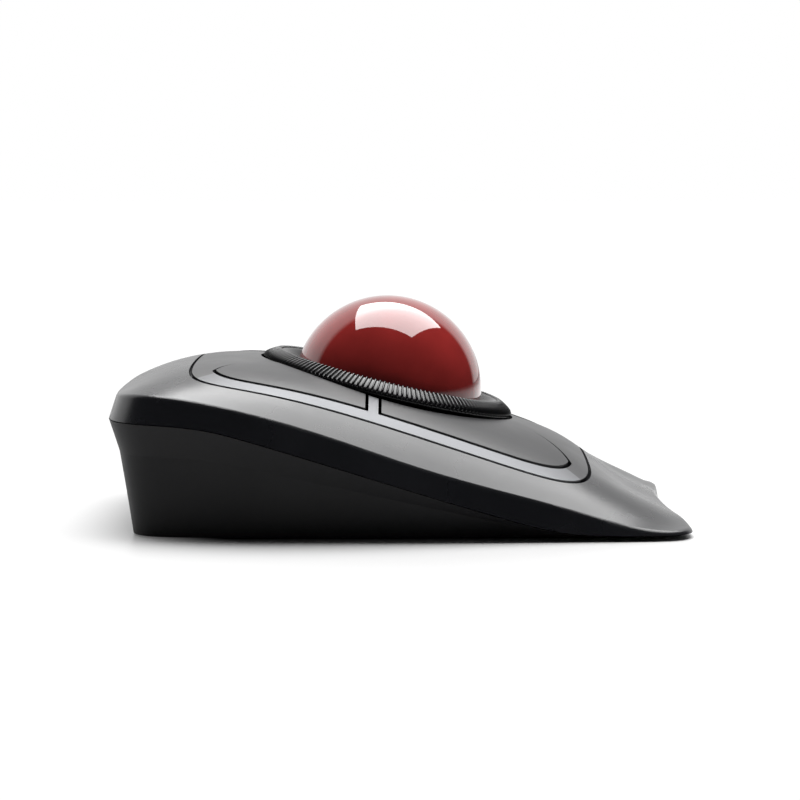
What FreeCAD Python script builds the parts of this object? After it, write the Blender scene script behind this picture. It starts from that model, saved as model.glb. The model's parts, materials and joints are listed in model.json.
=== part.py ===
import FreeCAD, Part
import Sketcher
import math
import os
import re

# Large desktop trackball: a 55 mm ball in a tilted scroll ring, four big corner buttons in
# a silver trim, a black domed cover and a flared bottom case.
# Millimetres. +Z is up, +Y is the high rear end, -Y is the low front end at the user.
# The origin is the middle of the footprint at desk level.

V = FreeCAD.Vector
doc = FreeCAD.newDocument("Trackball")
sheet = doc.addObject("Spreadsheet::Sheet", "Sizes")

SIZES = [
    # overall
    ("half_width", 65.0), ("rear_reach", 80.8), ("front_reach", 80.8),
    ("outline_power_rear", 6.0), ("outline_power_front", 14.0), ("front_taper", 0.05),
    ("front_dip", 5.0), ("front_dip_width", 36.0),
    # top skin, heights over the desk measured at the ball's station
    ("crown_height", 39.6), ("skin_slope", 21.9), ("skin_bow", -10.2), ("skin_roll", -8.7),
    ("skin_end_drop", -6.6), ("flank_drop", -5.7), ("flank_turn", -8.75), ("flank_slope", 4.5),
    ("flank_lift", 9.0), ("span_along", 80.0), ("span_short", 5.0),
    ("span_across", "=half_width - span_short"), ("scoop_depth", 5.0), ("scoop_width", 36.0),
    ("scoop_start", 46.0), ("scoop_length", 26.0), ("brim_height", 2.4), ("brim_round", 1.6),
    # walls, split line and gaps
    ("wall_thick", 2.4), ("floor_thick", 2.4), ("base_gap", 0.5), ("soft_edge", 1.8),
    ("band_lean", 3.2), ("band_height", 10.0), ("flare_at", 0.72), ("flare_share", 0.58),
    ("side_flare", 7.0), ("foot_half_width", "=half_width - side_flare"), ("rear_flare", 7.4),
    ("foot_rear", "=rear_reach - rear_flare"), ("front_flare", 1.5),
    ("foot_front", "=front_reach - front_flare"), ("foot_power_rear", 11.0), ("split_low", 0.8),
    ("split_high", 31.6), ("split_start", -45.0), ("split_end", 53.0), ("split_round", 9.0),
    ("split_gap", 0.25), ("lip_height", 1.3),
    # ball and scroll ring
    ("ball_radius", 27.5), ("ball_station", 3.0), ("ball_sunk", 1.6),
    ("ball_height", "=ring_height - ball_sunk"), ("ring_tilt", 13.7), ("ring_sunk", 1.8),
    ("ring_height", "=crown_height - ring_sunk"), ("ring_width", 8.3),
    ("ring_outer", "=ring_inner + ring_width"), ("ring_play", 1.2),
    ("ring_inner", "=ball_radius + ring_play"), ("crest_step", 3.6),
    ("ring_crest", "=ring_inner + crest_step"), ("ring_rise", 2.8), ("skirt_step", 2.3),
    ("ring_skirt", "=ring_inner + skirt_step"), ("skirt_wall", 1.4), ("skirt_depth", 6.2),
    ("ring_fit", 0.05), ("collar_play", 1.75), ("collar_inner", "=ball_radius + collar_play"),
    ("collar_top", 2.0), ("flange_top", 7.0), ("flange_thick", 2.0), ("flange_lap", 1.5),
    ("flange_outer", "=ring_outer + flange_lap"), ("hoop_lap", 1.5),
    ("hoop_inner", "=ring_outer - hoop_lap"), ("hoop_lip", 0.3),
    ("hoop_outer", "=flange_outer + hoop_lip"), ("hoop_thick", 5.0), ("washer_width", 3.0),
    ("washer_outer", "=ring_skirt + washer_width"), ("washer_gap", 0.02), ("wheel_fit", 0.1),
    ("wheel_outer", "=hoop_inner - wheel_fit"), ("wheel_depth", 4.4), ("wheel_thick", 0.6),
    ("wheel_slots", 36.0), ("cup_gap", 0.8), ("cup_wall", 1.7), ("cup_drain", 8.0),
    ("rim_fit", 0.3), ("cup_rim_outer", "=hoop_inner - rim_fit"), ("bearing_radius", 1.5),
    ("bearing_angle", 38.0), ("bearing_clear", 0.01),
    # trim and buttons, plan sizes about the ball
    ("side_strip", 5.6), ("trim_half_width", "=button_half_width + side_strip"),
    ("rear_strip", 6.5), ("trim_rear", "=button_rear + rear_strip"), ("front_strip", 5.5),
    ("trim_front", "=button_front + front_strip"), ("trim_thick", 2.2), ("trim_gap", 0.9),
    ("ring_clear", 0.9), ("button_past", 3.7), ("button_half_width", "=switch_x + button_past"),
    ("button_rear", 48.5), ("button_front", 51.5), ("button_gap", 0.9), ("button_thick", 2.2),
    ("button_proud", 0.2), ("divider_middle", 3.65), ("divider_width", 2.7),
    ("front_arc", 42.0), ("front_arc_x", 45.0), ("rear_arc", 24.2), ("rear_arc_x", 44.0),
    ("ledge_width", 3.0), ("ledge_thick", 1.6),
    # button pivots and switches
    ("pin_radius", 1.0), ("pin_fit", 0.05), ("barrel_radius", 2.2), ("barrel_length", 6.0),
    ("pivot_x", 33.0), ("pivot_front", 45.0), ("pivot_rear", 42.0), ("pivot_drop", 6.7),
    ("lug_thick", 2.0), ("lug_space", 0.3), ("carrier_drop", 10.0), ("carrier_thick", 1.5),
    ("carrier_past", 1.4), ("carrier_half_width", "=button_half_width + carrier_past"),
    ("switch_aside", 4.4), ("switch_x", "=hoop_outer + switch_aside"), ("switch_front", 4.0),
    ("switch_rear", 12.0), ("switch_side", 5.6), ("switch_tall", 3.4), ("switch_drop", 9.2),
    ("plunger_radius", 1.2), ("plunger_show", 1.2), ("plunger_room", 0.45),
    # screws, posts and board
    ("post_radius", 4.0), ("post_bore", 2.9), ("post_seat", 4.0), ("screw_radius", 1.5),
    ("screw_head", 2.7), ("screw_head_tall", 1.8), ("screw_length", 7.5), ("post_in", 8.3),
    ("post_x", "=hoop_outer - post_in"), ("post_front", 22.5), ("post_rear", 23.5),
    ("boss_aside", 3.5), ("boss_x", "=carrier_half_width + boss_aside"), ("boss_rear", 30.0),
    ("boss_front", -50.0), ("boss_front_x", 49.0), ("boss_meet_rear", 20.0),
    ("boss_meet_front", 7.8), ("board_half", 37.5), ("board_front", -54.0),
    ("board_rear", -28.0), ("board_low", 6.0), ("board_thick", 1.6), ("board_screw_x", 33.5),
    ("board_screw_inset", 4.0), ("small_screw", 1.1), ("small_head", 2.0),
    # batteries and their bay
    ("cell_radius", 7.25), ("cell_length", 50.5), ("cell_gap", 0.7),
    ("cell_pitch", "=2 * cell_radius + cell_gap"), ("cell_station", 54.8), ("cell_clear", 0.2),
    ("bay_wall", 1.2), ("contact_room", 3.15), ("bay_half", "=cell_length / 2 + contact_room"),
    ("door_lap", 1.6), ("door_thick", 1.1), ("door_gap", 0.25),
    # small underside pieces
    ("pad_height", 1.2), ("front_pad_x", 37.0), ("front_pad_y", -60.0), ("front_pad_w", 24.0),
    ("front_pad_l", 9.0), ("rear_pad_aside", 12.1),
    ("rear_pad_x", "=bay_half + rear_pad_aside"), ("rear_pad_y", 58.0), ("rear_pad_w", 13.0),
    ("rear_pad_l", 16.0), ("knob_x", 22.0), ("knob_y", -40.0), ("knob_travel", 3.0),
    ("link_x", -22.0), ("link_radius", 2.8), ("link_travel", 0.8), ("dongle_x", -45.0),
    ("dongle_y", 2.0), ("dongle_w", 14.4), ("dongle_l", 18.7), ("dongle_t", 6.1),
    ("label_w", 36.0), ("label_l", 14.0), ("label_y", -64.0), ("sensor_angle", 45.0),
    ("sensor_window", 4.9),
]
size = {}
for row, (alias, value) in enumerate(SIZES, 1):
    sheet.set("A%d" % row, alias)
    sheet.setAlias("B%d" % row, alias)
for row, (alias, value) in enumerate(SIZES, 1):
    sheet.set("B%d" % row, value if isinstance(value, str) else repr(value))
doc.recompute()
for alias, value in SIZES:
    size[alias] = float(sheet.get(alias))


def val(name):
    return size[name]


def bound(text):
    """Turns bare size names in a formula into references to the sheet."""
    return re.sub(r"[A-Za-z_]\w*", lambda m: "Sizes." + m.group(0) if m.group(0) in size
                  else m.group(0), text)


# ---------------------------------------------------------------- sketch and feature helpers
def new_body(label):
    body = doc.addObject("PartDesign::Body", label)
    body.Label = label
    return body


def sketch(body, plane, loops, lift="0"):
    """A constrained sketch. A loop is a list of (x, y) formulas or one (x, y, radius)."""
    sk = body.newObject("Sketcher::SketchObject", body.Name + "Sketch")
    flat = [f for f in body.Origin.OriginFeatures if f.Role == plane][0]
    sk.AttachmentSupport = [(flat, "")]
    sk.MapMode = "FlatFace"
    sk.setExpression("AttachmentOffset.Base.z", bound(lift))
    first = 0
    for loop in loops:
        if isinstance(loop, tuple):
            sk.addGeometry(Part.Circle(V(1, 1, 0), V(0, 0, 1), 5 + first), False)
            for kind, text in (("DistanceX", loop[0]), ("DistanceY", loop[1])):
                at = sk.addConstraint(Sketcher.Constraint(kind, -1, 1, first, 3, 1.0))
                sk.setExpression("Constraints[%d]" % at, bound(text))
            at = sk.addConstraint(Sketcher.Constraint("Radius", first, 5.0 + first))
            sk.setExpression("Constraints[%d]" % at, bound(loop[2]))
            first += 1
            continue
        count = len(loop)
        ring = [V(10 * math.cos(2 * math.pi * i / count), 10 * math.sin(2 * math.pi * i / count), 0)
                for i in range(count)]
        for i in range(count):
            sk.addGeometry(Part.LineSegment(ring[i], ring[(i + 1) % count]), False)
        for i in range(count):
            sk.addConstraint(Sketcher.Constraint("Coincident", first + i, 2,
                                                 first + (i + 1) % count, 1))
        for i, (x, y) in enumerate(loop):
            for kind, text in (("DistanceX", x), ("DistanceY", y)):
                at = sk.addConstraint(Sketcher.Constraint(kind, -1, 1, first + i, 1, 1.0 + i))
                sk.setExpression("Constraints[%d]" % at, bound(text))
        first += count
    return sk


def rect(x, y, w, l):
    """Corner formulas of a rectangle centred on (x, y)."""
    return [("(%s)+(%s)*(%s)/2" % (x, sx, w), "(%s)+(%s)*(%s)/2" % (y, sy, l))
            for sx, sy in ((-1, -1), (1, -1), (1, 1), (-1, 1))]


def revolve(body, loops):
    feat = body.newObject("PartDesign::Revolution", body.Name + "Revolution")
    sk = sketch(body, "XZ_Plane", loops)
    feat.Profile = sk
    feat.ReferenceAxis = (sk, ["V_Axis"])
    feat.Angle = 360
    sk.Visibility = False
    return feat


def pad(body, loops, lift, length):
    feat = body.newObject("PartDesign::Pad", body.Name + "Pad")
    feat.Profile = sketch(body, "XY_Plane", loops, lift)
    feat.setExpression("Length", bound(length))
    return feat


def pocket(body, loops, lift, length, up=True):
    """Cuts from the height lift, upwards by default, and proves that it cut something."""
    doc.recompute()
    before = body.Shape.Volume
    feat = body.newObject("PartDesign::Pocket", body.Name + "Pocket")
    feat.Profile = sketch(body, "XY_Plane", loops, lift)
    feat.setExpression("Length", bound(length))
    feat.Reversed = up
    doc.recompute()
    if not body.Shape.Volume < before - 1e-4:
        raise RuntimeError("cut missed in " + body.Label)
    return feat


def place(obj, x="0", y="0", z="0", tilt=None):
    """Puts a piece at (x, y, z) from formulas, turned about X by the formula tilt."""
    if tilt is not None:
        obj.Placement = FreeCAD.Placement(V(0, 0, 0), FreeCAD.Rotation(V(1, 0, 0), 10))
        obj.setExpression("Placement.Rotation.Angle", bound(tilt))
    for axis, text in (("x", x), ("y", y), ("z", z)):
        obj.setExpression("Placement.Base." + axis, bound(text))
    return obj


def ringwise(obj):
    return place(obj, "0", "ball_station", "ring_height", "ring_tilt")


# ---------------------------------------------------------------- skin, outline and split line
def smooth(u):
    u = min(max(u, 0.0), 1.0)
    return u * u * (3 - 2 * u)


def skin(x, y):
    """Height of the top skin: a leaning dome whose low front is scooped in the middle."""
    v = y - val("ball_station")
    u = v / val("span_along")
    w = (x / val("span_across")) ** 2
    top = val("crown_height") + u * (val("skin_slope") + u * (val("skin_bow")
          + u * (val("skin_roll") + u * val("skin_end_drop"))))
    top += w * (val("flank_drop") + val("flank_slope") * u)
    top += w * w * (val("flank_turn") + val("flank_lift") * u * u)
    ahead = smooth((-v - val("scoop_start")) / val("scoop_length"))
    top -= val("scoop_depth") * ahead * math.exp(-(x / val("scoop_width")) ** 4)
    over = top - val("brim_height")
    return val("brim_height") + (over + math.hypot(over, val("brim_round"))) / 2


def split(y, low):
    """Height of the cover's lower edge: level in front, rising along the sides, level behind."""
    a, b, k = val("split_start"), val("split_end"), val("split_round")
    s = (math.hypot(y - a, k) - math.hypot(y - b, k) + (b - a)) / (2 * (b - a))
    return low + (val("split_high") - low) * s


def super_outline(half, rear, front, rear_power, front_power, taper=0.0, dip=0.0, dip_width=1.0,
                  station=0.0, count=96):
    """Plan points of a rounded oblong, narrowed and dipped in front when asked."""
    pts = []
    for i in range(count):
        a = 2 * math.pi * (i + 0.5) / count
        c, s = math.cos(a), math.sin(a)
        reach, power = (rear, rear_power) if s > 0 else (front, front_power)
        r = (abs(c / half) ** power + abs(s / reach) ** power) ** (-1.0 / power)
        x, y = r * c, r * s
        if y < 0:
            x *= 1 - taper * (-y / front) ** 1.5
            y += dip * math.exp(-(x / dip_width) ** 2) * smooth(-y / front)
        pts.append([x, y])
    lowest = min(p[1] for p in pts)
    for p in pts:
        if p[1] < 0:
            p[1] *= front / -lowest
        p[1] += station
    return pts


def closed_wire(points, height):
    """A closed smooth wire through plan points; height is a number or a function of y."""
    curve = Part.BSplineCurve()
    curve.interpolate([V(x, y, height(y) if callable(height) else height) for x, y in points],
                      PeriodicFlag=True)
    return Part.Wire([curve.toShape()])


def prism(points, low=-5.0, high=90.0):
    return Part.Face(closed_wire(points, low)).extrude(V(0, 0, high - low))


def skin_face(drop):
    past, beyond = val("half_width") + 13.0, val("front_reach") + 15.2
    xs = [past * (i - 13) / 13.0 for i in range(27)]
    ys = [(val("rear_reach") + 15.2 + beyond) * i / 32.0 - beyond for i in range(33)]
    surface = Part.BSplineSurface()
    surface.interpolate([[V(x, y, skin(x, y) - drop) for y in ys] for x in xs])
    return surface.toShape()


def under_skin(drop):
    return skin_face(drop).extrude(V(0, 0, -110))


def slab(drop, thick):
    return skin_face(drop).extrude(V(0, 0, -thick))


def below_split(lift):
    ys = [-110 + 10 * i for i in range(23)]
    curve = Part.BSplineCurve()
    curve.interpolate([V(-100, y, split(y, val("split_low")) + lift) for y in ys])
    ends = [V(-100, ys[-1], -20), V(-100, ys[0], -20)]
    edges = [curve.toShape(), Part.LineSegment(curve.EndPoint, ends[0]).toShape(),
             Part.LineSegment(ends[0], ends[1]).toShape(),
             Part.LineSegment(ends[1], curve.StartPoint).toShape()]
    return Part.Face(Part.Wire(edges)).extrude(V(200, 0, 0))


def body_outline(inset):
    return super_outline(val("half_width") - inset, val("rear_reach") - inset,
                         val("front_reach") - inset, val("outline_power_rear"),
                         val("outline_power_front"), val("front_taper"), val("front_dip"),
                         val("front_dip_width"))


def foot_outline(inset):
    return super_outline(val("foot_half_width") - inset, val("foot_rear") - inset,
                         val("foot_front") - inset, val("foot_power_rear"),
                         val("outline_power_front"), val("front_taper"), val("front_dip"),
                         val("front_dip_width"))


def envelope(inset, low):
    """The closed outer shape: flared from the footprint up to the split line, then a band
    that leans in, then upright."""
    foot, wide = foot_outline(inset), body_outline(inset)
    share, part_up = val("flare_share"), val("flare_at")
    waist = [(a[0] + share * (b[0] - a[0]), a[1] + share * (b[1] - a[1]))
             for a, b in zip(foot, wide)]
    widest = lambda y: split(y, val("lip_height"))
    waist_up = lambda y: low + part_up * (widest(y) - low)
    band_top = lambda y: widest(y) + val("band_height")
    upper = body_outline(inset + val("band_lean"))
    return Part.makeLoft([closed_wire(foot, low), closed_wire(waist, waist_up),
                          closed_wire(wide, widest), closed_wire(upper, band_top),
                          closed_wire(upper, 70.0)], True, True)


def box(x0, x1, y0, y1, z0, z1):
    return Part.makeBox(x1 - x0, y1 - y0, z1 - z0, V(x0, y0, z0))


def tilted(shape):
    shape = shape.copy()
    shape.Placement = FreeCAD.Placement(V(0, val("ball_station"), val("ring_height")),
                                        FreeCAD.Rotation(V(1, 0, 0), val("ring_tilt"))
                                        ).multiply(shape.Placement)
    return shape


def ring_tube(outer, inner, low, high):
    shape = Part.makeCylinder(outer, high - low, V(0, 0, low))
    if inner:
        shape = shape.cut(Part.makeCylinder(inner, high - low + 2, V(0, 0, low - 1)))
    return tilted(shape)


def feature(label, shape, merge=True):
    if merge:
        shape = shape.removeSplitter()
    if shape.ShapeType == "Compound" and len(shape.Solids) == 1:
        shape = shape.Solids[0]
    obj = doc.addObject("Part::Feature", label)
    obj.Label = label
    obj.Shape = shape
    obj.Placement = FreeCAD.Placement()
    return obj


BALL = V(0, val("ball_station"), val("ball_height"))
BASE_Z = val("base_gap")
FLOOR_Z = BASE_Z + val("floor_thick")

# ---------------------------------------------------------------- places shared by many pieces
def post_spots():
    """The four posts under the hoop, as (x, y, top height at the hoop's lower face)."""
    lean = math.tan(math.radians(val("ring_tilt")))
    deep = (val("flange_top") + val("flange_thick") + val("hoop_thick")) / math.cos(
        math.radians(val("ring_tilt")))
    spots = []
    for v in (-val("post_front"), val("post_rear")):
        for side in (-1, 1):
            spots.append((side * val("post_x"), val("ball_station") + v,
                          val("ring_height") + v * lean - deep))
    return spots


def boss_spots():
    return [(side * x, y, meet) for side in (-1, 1) for x, y, meet in (
        (val("boss_x"), val("boss_rear"), val("boss_meet_rear")),
        (val("boss_front_x"), val("boss_front"), val("boss_meet_front")))]


def pivot(side, end):
    """Axis point of a button's hinge; side is -1 left or 1 right, end is -1 front or 1 rear."""
    y = val("ball_station") + (val("pivot_rear") if end > 0 else -val("pivot_front"))
    return V(side * val("pivot_x"), y, skin(val("pivot_x"), y) - val("pivot_drop"))


def switch_spot(side, end):
    """Underside centre of a button's switch."""
    y = val("ball_station") + (val("switch_rear") if end > 0 else -val("switch_front"))
    return V(side * val("switch_x"), y, skin(val("switch_x"), y) - val("switch_drop"))


CORNERS = [("front_left", -1, -1), ("front_right", 1, -1), ("rear_left", -1, 1),
           ("rear_right", 1, 1)]


def trim_outline(grow):
    middle = (val("trim_rear") - val("trim_front")) / 2
    half = (val("trim_rear") + val("trim_front")) / 2 + grow
    return super_outline(val("trim_half_width") + grow, half, half, 8, 8,
                         station=val("ball_station") + middle)


def button_prism(side, end, grow):
    """Plan shape of one button, grown all round for the hole that it sits in."""
    middle = (val("button_rear") - val("button_front")) / 2
    half = (val("button_rear") + val("button_front")) / 2 + grow
    shape = prism(super_outline(val("button_half_width") + grow, half, half, 8, 8,
                                station=val("ball_station") + middle))
    near = val("ball_station") + val("divider_middle") + end * (
        val("divider_width") / 2 + val("button_gap") - grow)
    if end > 0:
        arc, ax = val("rear_arc") + grow, val("rear_arc_x")
        ay = val("ball_station") + val("button_rear") - val("rear_arc")
    else:
        arc, ax = val("front_arc") + grow, val("front_arc_x")
        ay = val("ball_station") - val("button_front") + val("front_arc")
    y_lo, y_hi = sorted((near, near + end * 80))
    half_plane = box(0, 80, y_lo, y_hi, -5, 90)
    y_lo, y_hi = sorted((near, ay))
    bulk = Part.makeCylinder(arc, 95, V(ax, ay, -5)).fuse(
        [box(ax, 80, -80, 80, -5, 90), box(ax - arc, 80, y_lo, y_hi, -5, 90)])
    shape = shape.common(half_plane).common(bulk)
    hole = ring_tube(val("ring_outer") + val("ring_clear") + 0.3 - grow, 0, -60, 60)
    shape = shape.cut(hole)
    solid = max(shape.Solids, key=lambda item: item.Volume)
    return solid if side > 0 else solid.mirror(V(0, 0, 0), V(1, 0, 0))


# ---------------------------------------------------------------- outer shells
outer = envelope(0, BASE_Z)
inner = envelope(val("wall_thick"), BASE_Z - 2)

dome = outer.common(under_skin(0))
rim = [e for e in dome.Edges if all(
    abs(p.z - skin(p.x, p.y)) < 0.4 for p in e.discretize(9))]
dome = dome.makeFillet(val("soft_edge"), rim)
cover = dome.cut(inner.common(under_skin(val("wall_thick"))))
cover = cover.cut(below_split(val("split_gap")))
cover = max(cover.Solids, key=lambda item: item.Volume)
ledge = slab(val("trim_thick"), val("ledge_thick")).common(prism(trim_outline(3.0)))
cover = cover.fuse(ledge)
cover = cover.cut(slab(-4, 4 + val("trim_thick")).common(prism(trim_outline(val("trim_gap") / 2))))
cover = cover.cut(prism(trim_outline(-val("ledge_width"))))
for x, y, meet in boss_spots():
    boss = Part.makeCylinder(val("post_radius") - 0.7, 60, V(x, y, meet)).common(
        under_skin(val("trim_thick") + 0.01))
    cover = cover.fuse(boss)
for x, y, meet in boss_spots():
    cover = cover.cut(Part.makeCylinder(val("screw_radius") + 0.02, 4.6, V(x, y, meet - 0.01)))
feature("top_cover", cover)

lower = outer.common(below_split(0))
hollow = inner.common(box(-100, 100, -100, 100, FLOOR_Z, 90))
lower = lower.cut(hollow)
lower = max(lower.Solids, key=lambda item: item.Volume)
plate = prism(foot_outline(val("wall_thick") + 0.3), BASE_Z, FLOOR_Z).common(
    under_skin(val("wall_thick") + val("split_gap")))
lower = lower.fuse(plate)
adds = []
for x, y, top in post_spots():
    adds.append(Part.makeCylinder(val("post_radius"), 60, V(x, y, BASE_Z + 0.5)).common(
        ring_tube(70, 0, -80, -(val("flange_top") + val("flange_thick") + val("hoop_thick")))))
for x, y, meet in boss_spots():
    adds.append(Part.makeCylinder(val("post_radius") - 0.7, meet - BASE_Z - 0.5,
                                  V(x, y, BASE_Z + 0.5)))
mid = (val("board_front") + val("board_rear")) / 2
reach = (val("board_rear") - val("board_front")) / 2 - val("board_screw_inset")
board_spots = [(sx * val("board_screw_x"), mid + sy * reach) for sx in (-1, 1) for sy in (-1, 1)]
for x, y in board_spots:
    adds.append(Part.makeCylinder(2.6, val("board_low") - BASE_Z - 0.5, V(x, y, BASE_Z + 0.5)))
bay_y0 = val("cell_station") - val("cell_pitch") / 2 - val("cell_radius") - val("cell_clear")
bay_y1 = val("cell_station") + val("cell_pitch") / 2 + val("cell_radius") + val("cell_clear")
cell_z = FLOOR_Z + 0.3 + val("cell_radius")
bay_top = cell_z + val("cell_radius") + 0.4
w = val("bay_wall")
adds.append(box(-val("bay_half") - w, val("bay_half") + w, bay_y0 - w, bay_y1 + w, BASE_Z + 0.5,
                bay_top + w))
dx, dy = val("dongle_w") / 2 + 0.3, val("dongle_l") / 2 + 0.3
dz = val("dongle_x"), val("dongle_y")
dongle_top = BASE_Z + 0.3 + val("dongle_t") + 0.3
adds.append(box(dz[0] - dx - w, dz[0] + dx + w, dz[1] - dy - w, dz[1] + dy + w, BASE_Z + 0.5,
                dongle_top + w))
lower = lower.fuse(adds)
cuts = [box(-val("bay_half"), val("bay_half"), bay_y0, bay_y1, BASE_Z - 1, bay_top),
        box(-val("bay_half") - val("door_lap"), val("bay_half") + val("door_lap"),
            bay_y0 - val("door_lap"), bay_y1 + val("door_lap"), BASE_Z - 1,
            BASE_Z + val("door_thick") + 0.1),
        box(dz[0] - dx, dz[0] + dx, dz[1] - dy, dz[1] + dy, BASE_Z - 1, dongle_top)]
for x, y, top in post_spots():
    seat = top - val("post_seat")
    cuts.append(Part.makeCylinder(val("post_bore"), seat - BASE_Z + 1, V(x, y, BASE_Z - 1)))
    cuts.append(Part.makeCylinder(val("screw_radius") + 0.15, 30, V(x, y, BASE_Z)))
for x, y, meet in boss_spots():
    seat = meet - 2.4
    cuts.append(Part.makeCylinder(val("post_bore"), seat - BASE_Z + 1, V(x, y, BASE_Z - 1)))
    cuts.append(Part.makeCylinder(val("screw_radius") + 0.15, 30, V(x, y, BASE_Z)))
for x, y in board_spots:
    cuts.append(Part.makeCylinder(val("small_screw"), 3.2, V(x, y, val("board_low") - 3.2)))
kx, ky, kt = val("knob_x"), val("knob_y"), val("knob_travel")
cuts.append(box(kx - 2.7, kx + 2.7 + kt, ky - 1.9, ky + 1.9, BASE_Z - 1, FLOOR_Z + 1))
cuts.append(Part.makeCylinder(val("link_radius") + 0.2, 5, V(val("link_x"), ky, BASE_Z - 1)))
cuts.append(box(-val("label_w") / 2, val("label_w") / 2, val("label_y") - val("label_l") / 2,
                val("label_y") + val("label_l") / 2, BASE_Z - 1, BASE_Z + 0.3))
seat = BASE_Z + val("pad_height") - val("base_gap")
for kind in ("front", "rear"):
    for side in (-1, 1):
        x, y = side * val(kind + "_pad_x"), val(kind + "_pad_y")
        hw, hl = val(kind + "_pad_w") / 2 + 0.05, val(kind + "_pad_l") / 2 + 0.05
        cuts.append(box(x - hw, x + hw, y - hl, y + hl, BASE_Z - 1, seat))
lower = lower.cut(cuts)
feature("bottom_case", lower, merge=False)

# ---------------------------------------------------------------- trim, buttons and carrier
trim = slab(0, val("trim_thick")).common(prism(trim_outline(-val("trim_gap") / 2)))
trim = trim.cut(ring_tube(val("ring_outer") + val("ring_clear"), 0, -60, 60))
for name, side, end in CORNERS:
    trim = trim.cut(button_prism(side, end, val("button_gap")))
trim = max(trim.Solids, key=lambda item: item.Volume)
feature("trim_frame", trim)

web_top = under_skin(1.0)
for name, side, end in CORNERS:
    shape = slab(-val("button_proud"), val("button_thick") + val("button_proud")).common(
        button_prism(side, end, 0))
    p = pivot(side, end)
    half = val("barrel_length") / 2
    web = box(p.x - half, p.x + half, p.y - 1.5, p.y + 1.5, p.z, p.z + 15).common(web_top)
    s = switch_spot(side, end)
    touch = s.z + val("switch_tall") + val("plunger_show")
    rib = box(s.x - 1.3, s.x + 1.3, s.y - 2.0, s.y + 2.0, touch, touch + 12).common(web_top)
    barrel = Part.makeCylinder(val("barrel_radius"), 2 * half, V(p.x - half, p.y, p.z), V(1, 0, 0))
    shape = shape.fuse([web, rib, barrel])
    shape = shape.cut(Part.makeCylinder(val("pin_radius") + val("pin_fit"), 2 * half + 2,
                                        V(p.x - half - 1, p.y, p.z), V(1, 0, 0)))
    feature("button_" + name, shape)

carrier = slab(val("carrier_drop"), val("carrier_thick")).common(
    prism(super_outline(val("carrier_half_width"), 49.0, 49.0, 8, 8,
                        station=val("ball_station") - 0.5)))
carrier = carrier.cut(ring_tube(val("hoop_inner") + 2, 0, -60, 60))
hoop_top = -(val("flange_top") + val("flange_thick"))
carrier = carrier.fuse(ring_tube(val("hoop_outer"), val("hoop_inner"),
                                 hoop_top - val("hoop_thick"), hoop_top))
ears = []
for x, y, top in post_spots():
    ears.append(Part.makeCylinder(4.6, 60, V(x, y, 0)).common(
        ring_tube(60, 0, hoop_top - val("hoop_thick"), hoop_top)))
carrier = carrier.fuse(ears)
lugs, bores, pads, rooms = [], [], [], []
for name, side, end in CORNERS:
    p = pivot(side, end)
    half = val("barrel_length") / 2 + val("lug_space")
    for turn in (-1, 1):
        a = p.x + turn * half
        x0, x1 = sorted((a, a + turn * val("lug_thick")))
        lugs.append(box(x0, x1, p.y - 2.4, p.y + 2.4, p.z - 6.5, p.z + 1.7).cut(
            slab(val("carrier_drop") + val("carrier_thick"), 20)))
    span = half + val("lug_thick")
    bores.append(Part.makeCylinder(val("pin_radius") + 0.01, 2 * span + 2,
                                   V(p.x - span - 1, p.y, p.z), V(1, 0, 0)))
    s = switch_spot(side, end)
    q = val("switch_side") / 2 + 0.3
    pads.append(box(s.x - q, s.x + q, s.y - q, s.y + q, s.z - 3.4, s.z))
    rooms.append(box(s.x - q, s.x + q, s.y - q, s.y + q, s.z, s.z + 12))
carrier = carrier.fuse(lugs + pads).cut(bores + rooms)
drills = [Part.makeCylinder(val("screw_radius") + 0.02, 8, V(x, y, top - 1))
          for x, y, top in post_spots()]
carrier = carrier.cut(drills)
carrier = carrier.cut(ring_tube(val("hoop_inner"), 0, -60, 60))
carrier = max(carrier.Solids, key=lambda item: item.Volume)
feature("button_carrier", carrier)

pins = []
for name, side, end in CORNERS:
    p = pivot(side, end)
    span = val("barrel_length") / 2 + val("lug_space") + val("lug_thick")
    pins.append(Part.makeCylinder(val("pin_radius"), 2 * span, V(p.x - span, p.y, p.z),
                                  V(1, 0, 0)))
feature("hinge_pins", Part.makeCompound(pins))

for name, side, end in CORNERS:
    s = switch_spot(side, end)
    tag = ("l" if side < 0 else "r")
    body = new_body("switch_" + name)
    pad(body, [rect("0", "0", "switch_side", "switch_side")], "0", "switch_tall")
    pocket(body, [("0", "0", "plunger_radius+plunger_room")], "switch_tall-2.4", "2.4")
    body.Placement = FreeCAD.Placement(s, FreeCAD.Rotation())
    rod = doc.addObject("Part::Cylinder", "plunger_" + name)
    rod.Label = "plunger_" + name
    rod.setExpression("Radius", bound("plunger_radius"))
    rod.setExpression("Height", bound("plunger_show+1"))
    rod.Placement = FreeCAD.Placement(s + V(0, 0, val("switch_tall") - 1), FreeCAD.Rotation())

# ---------------------------------------------------------------- ball, ring and cup
ball = doc.addObject("Part::Sphere", "trackball")
ball.Label = "trackball"
ball.setExpression("Radius", bound("ball_radius"))
ball.Placement = FreeCAD.Placement(V(0, 0, 0), FreeCAD.Rotation(V(0, 1, 0), 90))
place(ball, "0", "ball_station", "ball_height")

ring = new_body("scroll_ring")
revolve(ring, [[
    ("ring_skirt", "-skirt_depth"), ("ring_skirt+skirt_wall", "-skirt_depth"),
    ("ring_skirt+skirt_wall", "-1"), ("ring_outer", "-1"), ("ring_outer-0.3", "0"),
    ("ring_outer-1.0", "0.8"), ("(ring_outer+ring_crest)/2", "ring_rise*0.64"),
    ("ring_crest+0.8", "ring_rise*0.94"), ("ring_crest", "ring_rise"),
    ("ring_crest-0.8", "ring_rise-0.3"), ("ring_inner", "-0.7"), ("ring_inner", "-1.6"),
    ("ring_skirt", "-1.6")]])
ringwise(ring)

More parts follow.
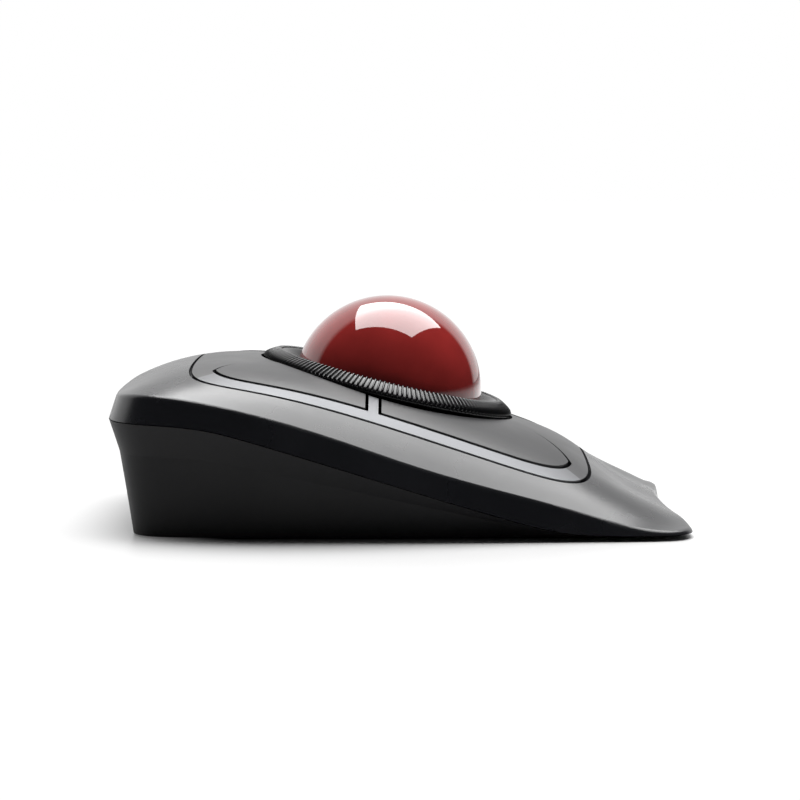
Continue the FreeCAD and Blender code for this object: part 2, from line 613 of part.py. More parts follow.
wheel = new_body("encoder_wheel")
pad(wheel, [("0", "0", "wheel_outer"), ("0", "0", "ring_skirt+skirt_wall")],
    "-wheel_depth-wheel_thick", "wheel_thick")
slot = pocket(wheel, [rect("wheel_outer-1.1", "0", "1.4", "1.4")], "-wheel_depth-wheel_thick",
              "wheel_thick")
doc.recompute()
turns = wheel.newObject("PartDesign::PolarPattern", "encoder_wheelPattern")
turns.Originals = [slot]
turns.Axis = ([f for f in wheel.Origin.OriginFeatures if f.Role == "Z_Axis"][0], [""])
turns.Angle = 360
turns.setExpression("Occurrences", bound("wheel_slots"))
wheel.Tip = turns
ringwise(wheel)

washer = new_body("glide_washer")
pad(washer, [("0", "0", "washer_outer"), ("0", "0", "ring_skirt+0.2")], "-flange_top",
    "flange_top-skirt_depth-washer_gap")
ringwise(washer)

hub = new_body("ring_carrier")
revolve(hub, [[
    ("collar_inner", "-flange_top-flange_thick"), ("flange_outer", "-flange_top-flange_thick"),
    ("flange_outer", "-flange_top"), ("ring_skirt-ring_fit", "-flange_top"),
    ("ring_skirt-ring_fit", "-collar_top"), ("collar_inner", "-collar_top")]])
ringwise(hub)

# The cup is a shell about the ball's centre, cut level with the hoop and open at the bottom.
tilt = math.radians(val("ring_tilt"))
up = V(0, -math.sin(tilt), math.cos(tilt))
cup_in = val("ball_radius") + val("cup_gap")
cup_out = cup_in + val("cup_wall")
below = ring_tube(60, 0, -90, hoop_top)
bowl = Part.makeSphere(cup_out, BALL).fuse(
    ring_tube(val("cup_rim_outer"), 0, hoop_top - 1.8, hoop_top)).common(below)
inward = []
for turn in (90, 210, 330):
    a, b = math.radians(turn), math.radians(val("bearing_angle"))
    way = V(math.cos(a) * math.cos(b), math.sin(a) * math.cos(b), -math.sin(b))
    inward.append(FreeCAD.Rotation(V(1, 0, 0), val("ring_tilt")).multVec(way))
for way in inward:
    bowl = bowl.fuse(Part.makeCylinder(3.2, 4.4, BALL + way * (cup_in - 0.1), way))
look = V(0, -math.cos(math.radians(val("sensor_angle"))), -math.sin(math.radians(
    val("sensor_angle"))))
bowl = bowl.cut([Part.makeSphere(cup_in, BALL),
                 Part.makeCylinder(val("cup_drain"), 60, BALL, up * -1),
                 Part.makeCylinder(val("sensor_window") + 0.1, 60, BALL, look)])
seat_r = val("ball_radius") + val("bearing_radius") + val("bearing_clear")
dots = []
for way in inward:
    bowl = bowl.cut(Part.makeSphere(val("bearing_radius"), BALL + way * seat_r))
    dots.append(Part.makeSphere(val("bearing_radius"), BALL + way * seat_r))
bowl = max(bowl.Solids, key=lambda item: item.Volume)
feature("ball_cup", bowl)
feature("support_balls", Part.makeCompound(dots))

# Sensor stack: lens in the cup's window, holder, chip and small board, square to the ball.
turn_back = FreeCAD.Rotation(V(0, 0, 1), look)
for label, loops, near, thick in (
        ("sensor_lens", [("0", "0", "sensor_window-0.15")], "ball_radius+1.4", "3.8"),
        ("sensor_holder", [("0", "0", "sensor_window+1.6"), ("0", "0", "sensor_window")],
         "ball_radius+cup_gap+cup_wall+0.4", "3.9"),
        ("sensor_chip", [rect("0", "0", "7.2", "5.6")], "ball_radius+5.4", "1.4"),
        ("sensor_board", [rect("0", "0", "16", "13.2")], "ball_radius+7", "1.2")):
    body = new_body(label)
    pad(body, loops, near, thick)
    body.Placement = FreeCAD.Placement(BALL, turn_back)

gate = new_body("ring_photo_gate")
gate_loop = [("wheel_outer-2.4", "-flange_top"), ("flange_outer-0.3", "-flange_top"),
             ("flange_outer-0.3", "-wheel_depth+1.0"),
             ("wheel_outer-2.4", "-wheel_depth+1.0"), ("wheel_outer-2.4", "-wheel_depth+0.35"),
             ("wheel_outer+0.5", "-wheel_depth+0.35"),
             ("wheel_outer+0.5", "-wheel_depth-wheel_thick-0.35"),
             ("wheel_outer-2.4", "-wheel_depth-wheel_thick-0.35")]
gate_pad = gate.newObject("PartDesign::Pad", "gatePad")
gate_pad.Profile = sketch(gate, "YZ_Plane", [[(a + "+1.2" if a == "wheel_outer-2.4" else a, b)
                                              for a, b in gate_loop]], "-3")
gate_pad.Length = 6
ringwise(gate)

# ---------------------------------------------------------------- board, fasteners, batteries
board = new_body("main_board")
pad(board, [rect("0", "(board_front+board_rear)/2", "2*board_half", "board_rear-board_front")]
    + [("%d*board_screw_x" % sx, "(board_front+board_rear)/2+%d*((board_rear-board_front)/2"
        "-board_screw_inset)" % sy, "small_screw+0.1") for sx in (-1, 1) for sy in (-1, 1)],
    "board_low", "board_thick")

top = val("board_low") + val("board_thick")
chips = [box(-4, 4, -46, -38, top, top + 1.2), box(-16, -12, -44, -36, top, top + 1.4),
         box(10, 14, -50, -44, top, top + 1.6), box(24, 31, -46, -41, top, top + 1.4),
         box(-31, -24, -38, -34, top, top + 1.4), box(17.5, 29.5, -42.5, -37.5, 5.0, 6.0),
         box(-24.5, -19.5, -42.5, -37.5, 5.15, 6.0)]
feature("board_chips", Part.makeCompound(chips))


def screw(x, y, seat_z, radius, head, head_tall, length, up_way=1):
    """A screw whose head bears at seat_z and whose shank goes up, or down for -1."""
    way = V(0, 0, up_way)
    shank = Part.makeCylinder(radius, length, V(x, y, seat_z), way)
    cap = Part.makeCylinder(head, head_tall, V(x, y, seat_z), way * -1)
    cross = [box(x - head * 0.6, x + head * 0.6, y - 0.3, y + 0.3, -0.5, 0.5),
             box(x - 0.3, x + 0.3, y - head * 0.6, y + head * 0.6, -0.5, 0.5)]
    solid = shank.fuse(cap)
    for bar in cross:
        bar.translate(V(0, 0, seat_z - up_way * (head_tall + 0.1)))
        solid = solid.cut(bar)
    return solid


case_screws = [screw(x, y, top - val("post_seat"), val("screw_radius"), val("screw_head"),
                     val("screw_head_tall"), val("screw_length"))
               for x, y, top in post_spots()]
case_screws += [screw(x, y, meet - 2.4, val("screw_radius"), val("screw_head"),
                      val("screw_head_tall"), 6.5) for x, y, meet in boss_spots()]
feature("case_screws", Part.makeCompound(case_screws))
feature("board_screws", Part.makeCompound([
    screw(x, y, val("board_low") + val("board_thick"), val("small_screw") - 0.02,
          val("small_head"), 1.2, 4.4, -1) for x, y in board_spots]))

for label, turn in (("battery_front", -1), ("battery_rear", 1)):
    cell = new_body(label)
    core = revolve(cell, [[
        ("0", "0"), ("cell_radius-0.4", "0"), ("cell_radius", "0.4"),
        ("cell_radius", "cell_length-1.6"), ("cell_radius-0.6", "cell_length-1"),
        ("2.75", "cell_length-1"), ("2.75", "cell_length"), ("0", "cell_length")]])
    cell.Placement = FreeCAD.Placement(
        V(-turn * val("cell_length") / 2, val("cell_station") + turn * val("cell_pitch") / 2,
          cell_z), FreeCAD.Rotation(V(0, 1, 0), turn * 90))
plates = []
for side in (-1, 1):
    x = side * (val("bay_half") - 0.4)
    x0, x1 = sorted((x, side * val("bay_half")))
    for turn in (-1, 1):
        y = val("cell_station") + turn * val("cell_pitch") / 2
        plates.append(box(x0, x1, y - 5.5, y + 5.5, cell_z - 5.5, cell_z + 5.5))
        if side == -turn:
            gap = val("bay_half") - 0.4 - val("cell_length") / 2
            for step in range(3):
                coil = Part.makeTorus(4.0 - 0.7 * step, 0.45, V(
                    side * (val("cell_length") / 2 + gap * (2.4 - step * 0.95) / 2.9), y, cell_z),
                    V(1, 0, 0))
                plates.append(coil)
feature("battery_contacts", Part.makeCompound(plates))

door = new_body("battery_door")
pad(door, [rect("0", "0", "2*(bay_half+door_lap-door_gap)",
                "cell_pitch+2*(cell_radius+cell_clear+door_lap-door_gap)")], "0", "door_thick")
doc.recompute()
plug = pad(door, [rect("0", "0", "2*(bay_half-door_gap)",
                       "cell_pitch+2*(cell_radius+cell_clear-door_gap)")], "door_thick", "1.1")
pocket(door, [rect("0", "-cell_pitch/2-cell_radius+3", "12", "3")], "0", "0.6")
place(door, "0", "cell_station", "base_gap")

# ---------------------------------------------------------------- underside pieces
for kind in ("front", "rear"):
    for tag, side in (("left", -1), ("right", 1)):
        foot = new_body("foot_%s_%s" % (kind, tag))
        pad(foot, [rect("0", "0", kind + "_pad_w", kind + "_pad_l")], "0", "pad_height")
        doc.recompute()
        block = foot.Tip
        rounder = foot.newObject("PartDesign::Fillet", foot.Name + "Fillet")
        tall = [i + 1 for i, e in enumerate(block.Shape.Edges)
                if abs(e.tangentAt(e.FirstParameter).z) > 0.9]
        rounder.Base = (block, ["Edge%d" % i for i in tall])
        rounder.Radius = 3
        foot.Tip = rounder
        place(foot, "%d*%s_pad_x" % (side, kind), kind + "_pad_y")

knob = new_body("power_switch")
pad(knob, [rect("0", "0", "5", "3.4")], "base_gap+0.1", "floor_thick+0.1")
doc.recompute()
pad(knob, [rect("0", "0", "10.5", "6.4")], "base_gap+floor_thick+0.1", "1.2")
place(knob, "knob_x", "knob_y", "0")

link = new_body("connect_button")
pad(link, [("0", "0", "link_radius")], "base_gap+0.2", "floor_thick")
doc.recompute()
pad(link, [("0", "0", "link_radius+1.2")], "base_gap+floor_thick+0.1", "1.0")
place(link, "link_x", "knob_y", "0")

dongle = new_body("usb_receiver")
pad(dongle, [rect("0", "0", "dongle_w", "dongle_l")], "base_gap+0.3", "dongle_t")
place(dongle, "dongle_x", "dongle_y", "0")

label = new_body("blank_label")
pad(label, [rect("0", "0", "label_w-0.3", "label_l-0.3")], "base_gap+0.1", "0.2")
place(label, "0", "label_y", "0")

# ---------------------------------------------------------------- check and write
doc.recompute()
os.makedirs("parts", exist_ok=True)
nodes = []
for obj in doc.Objects:
    if "Invalid" in obj.State or "Error" in obj.State:
        raise RuntimeError("%s failed: %s" % (obj.Label, obj.State))
    owned = obj.getParentGeoFeatureGroup() if hasattr(obj, "getParentGeoFeatureGroup") else None
    if obj.TypeId in ("PartDesign::Body", "Part::Feature", "Part::Cylinder", "Part::Sphere") \
            and owned is None:
        nodes.append(obj)
for obj in nodes:
    shape = obj.Shape
    if shape.isNull() or not shape.isValid() or not shape.Solids:
        raise RuntimeError("bad shape: " + obj.Label)
total = FreeCAD.BoundBox()
for obj in nodes:
    total.add(obj.Shape.BoundBox)
    b = obj.Shape.BoundBox
    print("%-20s solids %2d vol %9.1f  x %6.1f %6.1f y %6.1f %6.1f z %6.1f %6.1f" % (
        obj.Label, len(obj.Shape.Solids), obj.Shape.Volume, b.XMin, b.XMax, b.YMin, b.YMax,
        b.ZMin, b.ZMax))
    obj.Shape.exportStep("parts/%s.step" % obj.Label)
print(len(nodes), "nodes", total)
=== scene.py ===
# %% [markdown]
# # A desktop trackball, dressed for its portrait
# The CAD model gives every piece its place. Here we load it as a fixed frame and add the looks around it.

# %% Load the frame
import bpy, bmesh, math, json
from mathutils import Vector, Matrix


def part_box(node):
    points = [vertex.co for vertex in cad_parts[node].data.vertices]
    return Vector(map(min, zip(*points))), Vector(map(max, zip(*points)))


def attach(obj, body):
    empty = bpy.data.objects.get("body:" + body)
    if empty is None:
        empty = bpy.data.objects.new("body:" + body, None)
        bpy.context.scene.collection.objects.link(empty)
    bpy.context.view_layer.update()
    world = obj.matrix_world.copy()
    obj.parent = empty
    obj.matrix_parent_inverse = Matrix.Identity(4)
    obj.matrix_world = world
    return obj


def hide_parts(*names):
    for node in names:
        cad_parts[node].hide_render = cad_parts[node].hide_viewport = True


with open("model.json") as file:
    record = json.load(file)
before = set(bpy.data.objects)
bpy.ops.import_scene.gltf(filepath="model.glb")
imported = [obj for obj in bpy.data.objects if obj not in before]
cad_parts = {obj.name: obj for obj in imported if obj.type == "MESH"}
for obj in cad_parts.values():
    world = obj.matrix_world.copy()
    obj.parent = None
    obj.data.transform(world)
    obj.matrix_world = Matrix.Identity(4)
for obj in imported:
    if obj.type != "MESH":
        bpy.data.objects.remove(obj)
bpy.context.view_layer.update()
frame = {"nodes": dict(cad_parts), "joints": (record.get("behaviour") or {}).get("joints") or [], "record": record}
nodes = frame["nodes"]
print("pieces in the frame:", len(nodes))

# %% [markdown]
# ## A tilted ring needs a tilted frame
# The ball's centre and the ring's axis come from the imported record, so the looks follow the CAD sizes.

# %% Measure the ball and the ring's lean
joints = {j["name"]: j for j in frame["joints"]}
ball_at = Vector(joints["ball_roll"]["pos_m"])
ring_at = Vector(joints["ring_turn"]["pos_m"])
ring_up = Vector(joints["ring_turn"]["axis"]).normalized()
tilt = Matrix.Translation(ring_at) @ Vector((0, 0, 1)).rotation_difference(ring_up).to_matrix().to_4x4()
lo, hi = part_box("trackball")
ball_r = (hi.z - lo.z) / 2
lean = math.degrees(ring_up.angle(Vector((0, 0, 1))))
print("ball radius", round(ball_r * 1000, 2), "mm, ring leans", round(lean, 1))

# %% [markdown]
# ## Shared effects as shader groups
# A group is a small machine with named knobs. Grain makes moulded plastic's fine bumps, and Wear
# brightens rubbed spots and smears the gloss a little, as fingers do.

# %% Small helpers for node trees
def link(tree, a, b):
    tree.links.new(a, b)

def group(name, inputs, outputs):
    g = bpy.data.node_groups.new(name, "ShaderNodeTree")
    for kind, label, default in inputs:
        s = g.interface.new_socket(label, in_out="INPUT", socket_type=kind)
        s.default_value = default
    for kind, label in outputs:
        g.interface.new_socket(label, in_out="OUTPUT", socket_type=kind)
    return g, g.nodes.new("NodeGroupInput"), g.nodes.new("NodeGroupOutput")

def add(tree, kind, **values):
    node = tree.nodes.new(kind)
    for key, value in values.items():
        if hasattr(node, key):
            setattr(node, key, value)
        else:
            node.inputs[key.replace("_", " ")].default_value = value
    return node

print("helpers: link, group, add")

# %% The Grain group
F, C, VV = "NodeSocketFloat", "NodeSocketColor", "NodeSocketVector"
grain, gi, go = group("Grain", [(F, "Scale", 1500.0), (F, "Depth", 0.08)], [(VV, "Normal")])
where = add(grain, "ShaderNodeTexCoord")
speck = add(grain, "ShaderNodeTexNoise", Detail=2.0)
bump = add(grain, "ShaderNodeBump", Distance=0.00005)
link(grain, where.outputs["Object"], speck.inputs["Vector"])
link(grain, gi.outputs["Scale"], speck.inputs["Scale"])
link(grain, speck.outputs["Fac"], bump.inputs["Height"])
link(grain, gi.outputs["Depth"], bump.inputs["Strength"])
link(grain, bump.outputs["Normal"], go.inputs["Normal"])

print("made", grain.name)

# %% The Wear group
wear, wi, wo = group("Wear", [(C, "Color", (0.5, 0.5, 0.5, 1)), (F, "Roughness", 0.4), (F, "Smudge", 0.08),
                              (F, "Tint", 0.15), (F, "Scale", 40.0)], [(C, "Color"), (F, "Roughness")])
where = add(wear, "ShaderNodeTexCoord")
cloud = add(wear, "ShaderNodeTexNoise", Detail=5.0)
spread = add(wear, "ShaderNodeMapRange", From_Min=0.3, From_Max=0.7, To_Min=-1.0, To_Max=1.0)
smear = add(wear, "ShaderNodeMath", operation="MULTIPLY_ADD")
tone = add(wear, "ShaderNodeMath", operation="MULTIPLY_ADD")
tone.inputs[2].default_value = 1.0
tint = add(wear, "ShaderNodeVectorMath", operation="SCALE")
link(wear, where.outputs["Object"], cloud.inputs["Vector"])
link(wear, wi.outputs["Scale"], cloud.inputs["Scale"])
link(wear, cloud.outputs["Fac"], spread.inputs["Value"])
link(wear, spread.outputs["Result"], smear.inputs[0])
link(wear, wi.outputs["Smudge"], smear.inputs[1])
link(wear, wi.outputs["Roughness"], smear.inputs[2])
link(wear, spread.outputs["Result"], tone.inputs[0])
link(wear, wi.outputs["Tint"], tone.inputs[1])
link(wear, wi.outputs["Color"], tint.inputs[0])
link(wear, tone.outputs["Value"], tint.inputs["Scale"])
link(wear, tint.outputs["Vector"], wo.inputs["Color"])
link(wear, smear.outputs["Value"], wo.inputs["Roughness"])
print("groups:", [g.name for g in bpy.data.node_groups])

# %% [markdown]
# ## One recipe per material
# Every material feeds its colour and roughness through Wear and its normal through Grain.

# %% The shared recipe
def material(name, color, rough, metal=0.0, coat=0.0, scale=1500.0, depth=0.08, smudge=0.05, tint=0.12,
             **extra):
    m = bpy.data.materials.new(name)
    m.use_nodes = True
    t = m.node_tree
    p = t.nodes["Principled BSDF"]
    p.inputs["Metallic"].default_value = metal
    p.inputs["Coat Weight"].default_value = coat
    for key, value in extra.items():
        p.inputs[key.replace("_", " ")].default_value = value
    w = t.nodes.new("ShaderNodeGroup"); w.node_tree = wear
    w.inputs["Color"].default_value = (*color, 1)
    w.inputs["Roughness"].default_value = rough
    w.inputs["Smudge"].default_value = smudge
    w.inputs["Tint"].default_value = tint
    g = t.nodes.new("ShaderNodeGroup"); g.node_tree = grain
    g.inputs["Scale"].default_value = scale
    g.inputs["Depth"].default_value = depth
    link(t, w.outputs["Color"], p.inputs["Base Color"])
    link(t, w.outputs["Roughness"], p.inputs["Roughness"])
    link(t, g.outputs["Normal"], p.inputs["Normal"])
    p.inputs["Base Color"].default_value = (*color, 1)
    p.inputs["Roughness"].default_value = rough
    return m

print("recipe ready, fed by", wear.name, "and", grain.name)

# %% [markdown]
# ## The finishes
# Colours are linear, so satin black plastic is near 0.01. The trim is painted silver, the ring is
# moulded darker than the shell, and the pieces inside get the finish of what they are made of.

# %% Mix the finishes
mats = {
    "shell": material("shell", (0.010, 0.0105, 0.013), 0.27, depth=0.05),
    "base": material("base", (0.010, 0.010, 0.011), 0.6, depth=0.5, scale=900.0,
                     Specular_IOR_Level=0.25),
    "trim": material("trim", (0.12, 0.123, 0.13), 0.38, metal=0.6, depth=0.10, scale=2600.0),
    "button": material("button", (0.011, 0.011, 0.013), 0.33, depth=0.05, Specular_IOR_Level=0.36),
    "ball": material("ball", (0.30, 0.024, 0.022), 0.04, coat=0.7, depth=0.0, smudge=0.01, tint=0.3,
                     Coat_Roughness=0.02),
    "ring": material("ring", (0.006, 0.006, 0.007), 0.26, depth=0.08),
    "inner_plastic": material("inner_plastic", (0.06, 0.06, 0.065), 0.5, depth=0.2),
    "nylon": material("nylon", (0.72, 0.71, 0.66), 0.45, depth=0.1),
    "steel": material("steel", (0.60, 0.60, 0.61), 0.28, metal=1.0, depth=0.1),
    "ceramic": material("ceramic", (0.82, 0.81, 0.79), 0.12, depth=0.02),
    "lens": material("lens", (0.9, 0.92, 0.95), 0.05, depth=0.0, Transmission_Weight=0.9),
    "circuit": material("circuit", (0.015, 0.13, 0.05), 0.35, depth=0.2, scale=400.0),
    "chip": material("chip", (0.018, 0.018, 0.02), 0.45, depth=0.2),
    "switch": material("switch", (0.045, 0.045, 0.05), 0.4, depth=0.1),
    "plunger": material("plunger", (0.60, 0.04, 0.03), 0.35, depth=0.05),
    "battery": material("battery", (0.09, 0.20, 0.11), 0.3, metal=0.3, depth=0.05),
    "spring": material("spring", (0.72, 0.72, 0.73), 0.2, metal=1.0, depth=0.05),
    "foot": material("foot", (0.028, 0.028, 0.03), 0.7, depth=0.5, scale=700.0),
    "label": material("label", (0.66, 0.67, 0.68), 0.4, depth=0.05),
}
print("materials:", len(mats))

# %% [markdown]
# ## Two colours on one frame
# The trim is silver beside the buttons and between them, and body black in the wedges before and
# behind the ring. It is one moulding, so the paint's edge is a rule in the material: silver wherever
# a point is nearly as far across from the ball as along from it. The border is crisp.

# %% Paint the trim
SILVER, BODY_BLACK = (0.12, 0.123, 0.13, 1), (0.012, 0.012, 0.014, 1)
SILVER_METAL = 0.6
PAINT_EDGE = -0.0075
silver = mats["trim"].node_tree
paint = next(n for n in silver.nodes if n.type == "GROUP" and n.node_tree == wear)
spot, parts = add(silver, "ShaderNodeTexCoord"), add(silver, "ShaderNodeSeparateXYZ")
along = add(silver, "ShaderNodeMath", operation="SUBTRACT"); along.inputs[1].default_value = ball_at.y
wide = add(silver, "ShaderNodeMath", operation="ABSOLUTE")
long = add(silver, "ShaderNodeMath", operation="ABSOLUTE")
lead = add(silver, "ShaderNodeMath", operation="SUBTRACT")
edge = add(silver, "ShaderNodeMath", operation="GREATER_THAN"); edge.inputs[1].default_value = PAINT_EDGE
blend = add(silver, "ShaderNodeMix", data_type="RGBA")
blend.inputs[6].default_value = BODY_BLACK
blend.inputs[7].default_value = SILVER
link(silver, spot.outputs["Object"], parts.inputs[0])
link(silver, parts.outputs["Y"], along.inputs[0]); link(silver, along.outputs[0], long.inputs[0])
link(silver, parts.outputs["X"], wide.inputs[0])
link(silver, wide.outputs[0], lead.inputs[0]); link(silver, long.outputs[0], lead.inputs[1])
link(silver, lead.outputs[0], edge.inputs[0])
link(silver, edge.outputs[0], blend.inputs[0]); link(silver, blend.outputs[2], paint.inputs["Color"])
shine = silver.nodes["Principled BSDF"]
metal = add(silver, "ShaderNodeMath", operation="MULTIPLY")
metal.inputs[1].default_value = SILVER_METAL
link(silver, edge.outputs[0], metal.inputs[0]); link(silver, metal.outputs[0], shine.inputs["Metallic"])

print("trim paint changes", -PAINT_EDGE * 1000, "mm off the diagonals")

# %% Dress every CAD piece
slots = {s["node"]: s["material_slot"] for s in frame["record"]["subparts"]}
for name, obj in nodes.items():
    obj.data.materials.clear()
    obj.data.materials.append(mats[slots[name]])
print("dressed", len(nodes), "pieces")

# %% [markdown]
# ## The ball
# A smooth sphere: fine enough that its outline and the light's reflection have no corners.

# %% A helper for new pieces
def new_object(name, bm, slot, body, smooth=True):
    mesh = bpy.data.meshes.new(name)
    bmesh.ops.recalc_face_normals(bm, faces=bm.faces)
    bm.to_mesh(mesh); bm.free()
    mesh.materials.append(mats[slot])
    for p in mesh.polygons:
        p.use_smooth = smooth
    obj = bpy.data.objects.new(name, mesh)
    bpy.context.scene.collection.objects.link(obj)
    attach(obj, body)
    return obj

print("new pieces ride on a body and name their slot")

# %% Shape the ball
ROUND, UP = 144, 96
bm = bmesh.new()
centre = Matrix.Translation(ball_at)
bmesh.ops.create_uvsphere(bm, u_segments=ROUND, v_segments=UP, radius=ball_r, matrix=centre)
ball = new_object("ball_polished", bm, "ball", "ball")
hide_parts("trackball")
print("ball faces:", len(ball.data.polygons))

# %% [markdown]
# ## The scroll ring
# First the ring's smooth body, turned from its section. Then one rib is shaped on the body's outer
# slope, and Geometry Nodes repeats it around the ring, since all its ribs are alike.

# %% Turn the ring's body
def turned(name, section, slot, body, steps=192):
    """Spins a closed section of (radius, height) in mm round the ring's axis."""
    bm = bmesh.new()
    rows = []
    for i in range(steps):
        a = 2 * math.pi * i / steps
        rows.append([bm.verts.new(tilt @ Vector((r * math.cos(a) / 1000, r * math.sin(a) / 1000, h / 1000)))
                     for r, h in section])
    for i in range(steps):
        p, q = rows[i], rows[(i + 1) % steps]
        for k in range(len(section)):
            n = (k + 1) % len(section)
            bm.faces.new((p[k], q[k], q[n], p[n]))
    return new_object(name, bm, slot, body)

crown = [(36.95, -0.6), (36.75, 0.0), (36.3, 0.55), (35.6, 1.1), (34.8, 1.6), (34.0, 2.05), (33.2, 2.45),
         (32.7, 2.68), (32.2, 2.76), (31.7, 2.66), (31.2, 2.3), (30.4, 1.4), (29.6, 0.45),
         (29.0, -0.25), (28.75, -0.7)]
skirt = [(31.0, -6.2), (32.4, -6.2), (32.4, -1.0), (36.9, -1.0)]
lip = [(28.7, -1.0), (28.75, -1.6), (31.0, -1.6)]
section = skirt + crown + lip
ring = turned("ring_turned", section, "ring", "ring")
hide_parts("scroll_ring")
print("ring faces:", len(ring.data.polygons))

# %% Shape one rib
RIB_RISE, RIB_HALF, RIB_ROOT = 0.70, 0.40, -0.15
bm = bmesh.new()
spine = crown[:9]
rows = []
for k, (r, h) in enumerate(spine):
    a, b = spine[max(k - 1, 0)], spine[min(k + 1, len(spine) - 1)]
    run = Vector((b[0] - a[0], 0, b[1] - a[1])).normalized()
    out = Vector((-run.z, 0, run.x)) * -1
    if out.z < 0 and out.x < 0: out = out * -1
    high = RIB_RISE * min(1.0, 0.15 + 1.3 * min(k, len(spine) - 1 - k) / 2)
    row = []
    for y, lift in ((-RIB_HALF, RIB_ROOT), (-RIB_HALF * 0.55, high * 0.8), (0, high),
                    (RIB_HALF * 0.55, high * 0.8), (RIB_HALF, RIB_ROOT)):
        at = Vector((r, y, h)) + out * lift
        row.append(bm.verts.new(at / 1000))
    rows.append(row)
for p, q in zip(rows, rows[1:]):
    for k in range(4):
        bm.faces.new((p[k], p[k + 1], q[k + 1], q[k]))
bm.faces.new(rows[0]); bm.faces.new(list(reversed(rows[-1])))
bmesh.ops.recalc_face_normals(bm, faces=bm.faces)
rib_mesh = bpy.data.meshes.new("rib"); bm.to_mesh(rib_mesh); bm.free()
for p in rib_mesh.polygons: p.use_smooth = True
rib = bpy.data.objects.new("rib", rib_mesh)
print("one rib:", len(rib_mesh.polygons), "faces")

# %% A tree that repeats a piece round an axis
def repeat_round(name, item, slot, body, count, place):
    """Geometry Nodes: copies of one small mesh, turned evenly round an axis."""
    tree = bpy.data.node_groups.new(name, "GeometryNodeTree")
    tree.interface.new_socket("Geometry", in_out="OUTPUT", socket_type="NodeSocketGeometry")
    knob = tree.interface.new_socket("Count", in_out="INPUT", socket_type="NodeSocketInt")
    src = tree.interface.new_socket("Item", in_out="INPUT", socket_type="NodeSocketObject")
    paint = tree.interface.new_socket("Material", in_out="INPUT", socket_type="NodeSocketMaterial")
    gin, gout = tree.nodes.new("NodeGroupInput"), tree.nodes.new("NodeGroupOutput")
    line = tree.nodes.new("GeometryNodeMeshLine")
    info = tree.nodes.new("GeometryNodeObjectInfo")
    on = tree.nodes.new("GeometryNodeInstanceOnPoints")
    idx = tree.nodes.new("GeometryNodeInputIndex")
    frac = tree.nodes.new("ShaderNodeMath"); frac.operation = "DIVIDE"
    turn = tree.nodes.new("ShaderNodeMath"); turn.operation = "MULTIPLY"
    turn.inputs[1].default_value = 2 * math.pi
    rot = tree.nodes.new("ShaderNodeCombineXYZ")
    real = tree.nodes.new("GeometryNodeRealizeInstances")
    mat = tree.nodes.new("GeometryNodeSetMaterial")
    line.inputs["Offset"].default_value = (0, 0, 0)
    L = tree.links.new
    L(gin.outputs["Count"], line.inputs["Count"]); L(gin.outputs["Item"], info.inputs["Object"])
    L(idx.outputs["Index"], frac.inputs[0]); L(gin.outputs["Count"], frac.inputs[1])
    L(frac.outputs[0], turn.inputs[0]); L(turn.outputs[0], rot.inputs["Z"])
    L(line.outputs["Mesh"], on.inputs["Points"]); L(info.outputs["Geometry"], on.inputs["Instance"])
    L(rot.outputs["Vector"], on.inputs["Rotation"]); L(on.outputs["Instances"], real.inputs["Geometry"])
    L(real.outputs["Geometry"], mat.inputs["Geometry"]); L(gin.outputs["Material"], mat.inputs["Material"])
    L(mat.outputs["Geometry"], gout.inputs["Geometry"])
    host = bpy.data.objects.new(name, bpy.data.meshes.new(name))
    bpy.context.scene.collection.objects.link(host)
    bpy.context.scene.collection.objects.link(item)
    mod = host.modifiers.new("repeat", "NODES"); mod.node_group = tree
    mod[knob.identifier] = count; mod[src.identifier] = item; mod[paint.identifier] = mats[slot]
    bpy.context.view_layer.update()
    mesh = bpy.data.meshes.new_from_object(host.evaluated_get(bpy.context.evaluated_depsgraph_get()))
    host.modifiers.clear(); host.data = mesh
    mesh.transform(place)
    bpy.data.objects.remove(item)
    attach(host, body)
    return host

print("tree builder ready")

# %% Repeat the rib round the ring
RIB_COUNT = 160
ribs = repeat_round("ring_ribs", rib, "ring", "ring", RIB_COUNT, tilt)
print("ribs:", len(ribs.data.polygons), "faces")

# %% [markdown]
# ## Stage, light and camera
# A white floor that fades to plain white away from the object, one large overhead softbox, and a
# world that is bright behind and dark on the near side. So the ball keeps its deep colour, and the
# satin plastic shows the softbox.

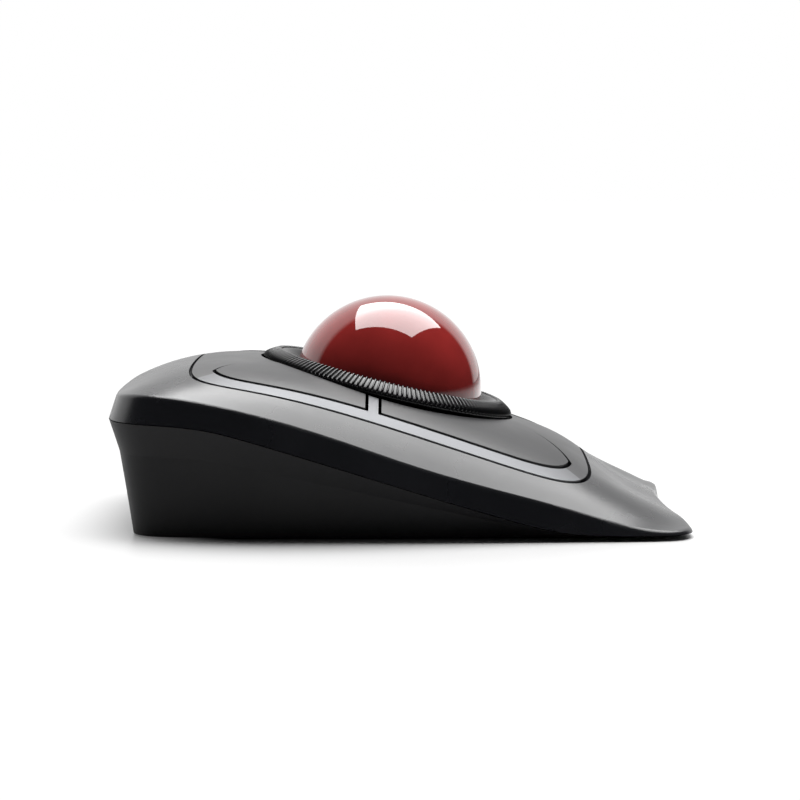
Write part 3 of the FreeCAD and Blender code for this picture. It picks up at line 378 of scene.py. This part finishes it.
# %% The floor's material
FADE_NEAR, FADE_FAR = 0.080, 0.135
def emission_floor():
    m = bpy.data.materials.new("floor")
    m.use_nodes = True
    t = m.node_tree
    p = t.nodes["Principled BSDF"]
    p.inputs["Base Color"].default_value = (0.80, 0.80, 0.80, 1)
    p.inputs["Roughness"].default_value = 0.35
    geo = add(t, "ShaderNodeNewGeometry")
    flat = add(t, "ShaderNodeVectorMath", operation="MULTIPLY_ADD")
    flat.inputs[1].default_value = (1.0, 0.8, 0)
    flat.inputs[2].default_value = (0, 0.02, 0)
    far = add(t, "ShaderNodeVectorMath", operation="LENGTH")
    ramp = add(t, "ShaderNodeMapRange", From_Min=FADE_NEAR, From_Max=FADE_FAR, To_Min=0.0, To_Max=1.0)
    ramp.interpolation_type = "SMOOTHSTEP"
    glow = add(t, "ShaderNodeEmission", Strength=1.05)
    mix = add(t, "ShaderNodeMixShader")
    link(t, geo.outputs["Position"], flat.inputs[0]); link(t, flat.outputs["Vector"], far.inputs[0])
    path = add(t, "ShaderNodeLightPath")
    shown = add(t, "ShaderNodeMath", operation="MULTIPLY")
    link(t, far.outputs["Value"], ramp.inputs["Value"])
    link(t, ramp.outputs["Result"], shown.inputs[0]); link(t, path.outputs["Is Camera Ray"], shown.inputs[1])
    link(t, shown.outputs["Value"], mix.inputs["Fac"])
    link(t, p.outputs["BSDF"], mix.inputs[1]); link(t, glow.outputs["Emission"], mix.inputs[2])
    link(t, mix.outputs["Shader"], t.nodes["Material Output"].inputs["Surface"])
    return m

print("the floor fades to white from", FADE_NEAR, "to", FADE_FAR, "m")

# %% Lay the floor
bm = bmesh.new()
bmesh.ops.create_grid(bm, x_segments=2, y_segments=2, size=12.0)
mesh = bpy.data.meshes.new("floor"); bm.to_mesh(mesh); bm.free()
floor = bpy.data.objects.new("floor", mesh)
mesh.materials.append(emission_floor())
bpy.context.scene.collection.objects.link(floor)
print("floor laid")

# %% The bright wall
world = bpy.data.worlds.new("studio"); bpy.context.scene.world = world
world.use_nodes = True
t = world.node_tree
bg = t.nodes["Background"]
look = add(t, "ShaderNodeTexCoord"); split = add(t, "ShaderNodeSeparateXYZ")
side = add(t, "ShaderNodeMath", operation="MULTIPLY_ADD"); side.inputs[1].default_value = 0.25
ramp = add(t, "ShaderNodeMapRange", From_Min=0.42, From_Max=0.54, To_Min=0.02, To_Max=0.95)
path = add(t, "ShaderNodeLightPath"); pick = add(t, "ShaderNodeMath", operation="MAXIMUM")
link(t, look.outputs["Generated"], split.inputs[0]); link(t, split.outputs["Y"], side.inputs[0])
link(t, split.outputs["X"], side.inputs[2]); link(t, side.outputs["Value"], ramp.inputs["Value"])
link(t, ramp.outputs["Result"], pick.inputs[0]); link(t, path.outputs["Is Camera Ray"], pick.inputs[1])
link(t, pick.outputs["Value"], bg.inputs["Strength"])
bg.inputs["Color"].default_value = (1, 1, 1, 1)
print("world:", world.name)

# %% The overhead softbox
def softbox(name, at, size_x, size_y, power, aim=(0, 0, 0.03)):
    data = bpy.data.lights.new(name, "AREA")
    data.shape = "RECTANGLE"; data.size = size_x; data.size_y = size_y; data.energy = power
    obj = bpy.data.objects.new(name, data)
    obj.location = at
    obj.rotation_euler = (Vector(aim) - Vector(at)).to_track_quat("-Z", "Y").to_euler()
    bpy.context.scene.collection.objects.link(obj)
    return obj

softbox("overhead", (0.30, -0.08, 0.85), 0.95, 0.85, 16.0, aim=(0.10, -0.02, 0.0))
print("softbox hung")

# %% The camera
cam = bpy.data.cameras.new("camera")
cam.sensor_width = 36; cam.lens = 112.5
cam.clip_end = 50
shot = bpy.data.objects.new("camera", cam)
shot.location = (-0.730, ball_at.y - 0.00367, 0.0962)
shot.rotation_euler = (math.radians(90 - 4.95), 0, math.radians(-90))
bpy.context.scene.collection.objects.link(shot)
bpy.context.scene.camera = shot
bpy.context.scene.view_settings.view_transform = "Standard"
print("camera looks from", tuple(round(c, 3) for c in shot.location))
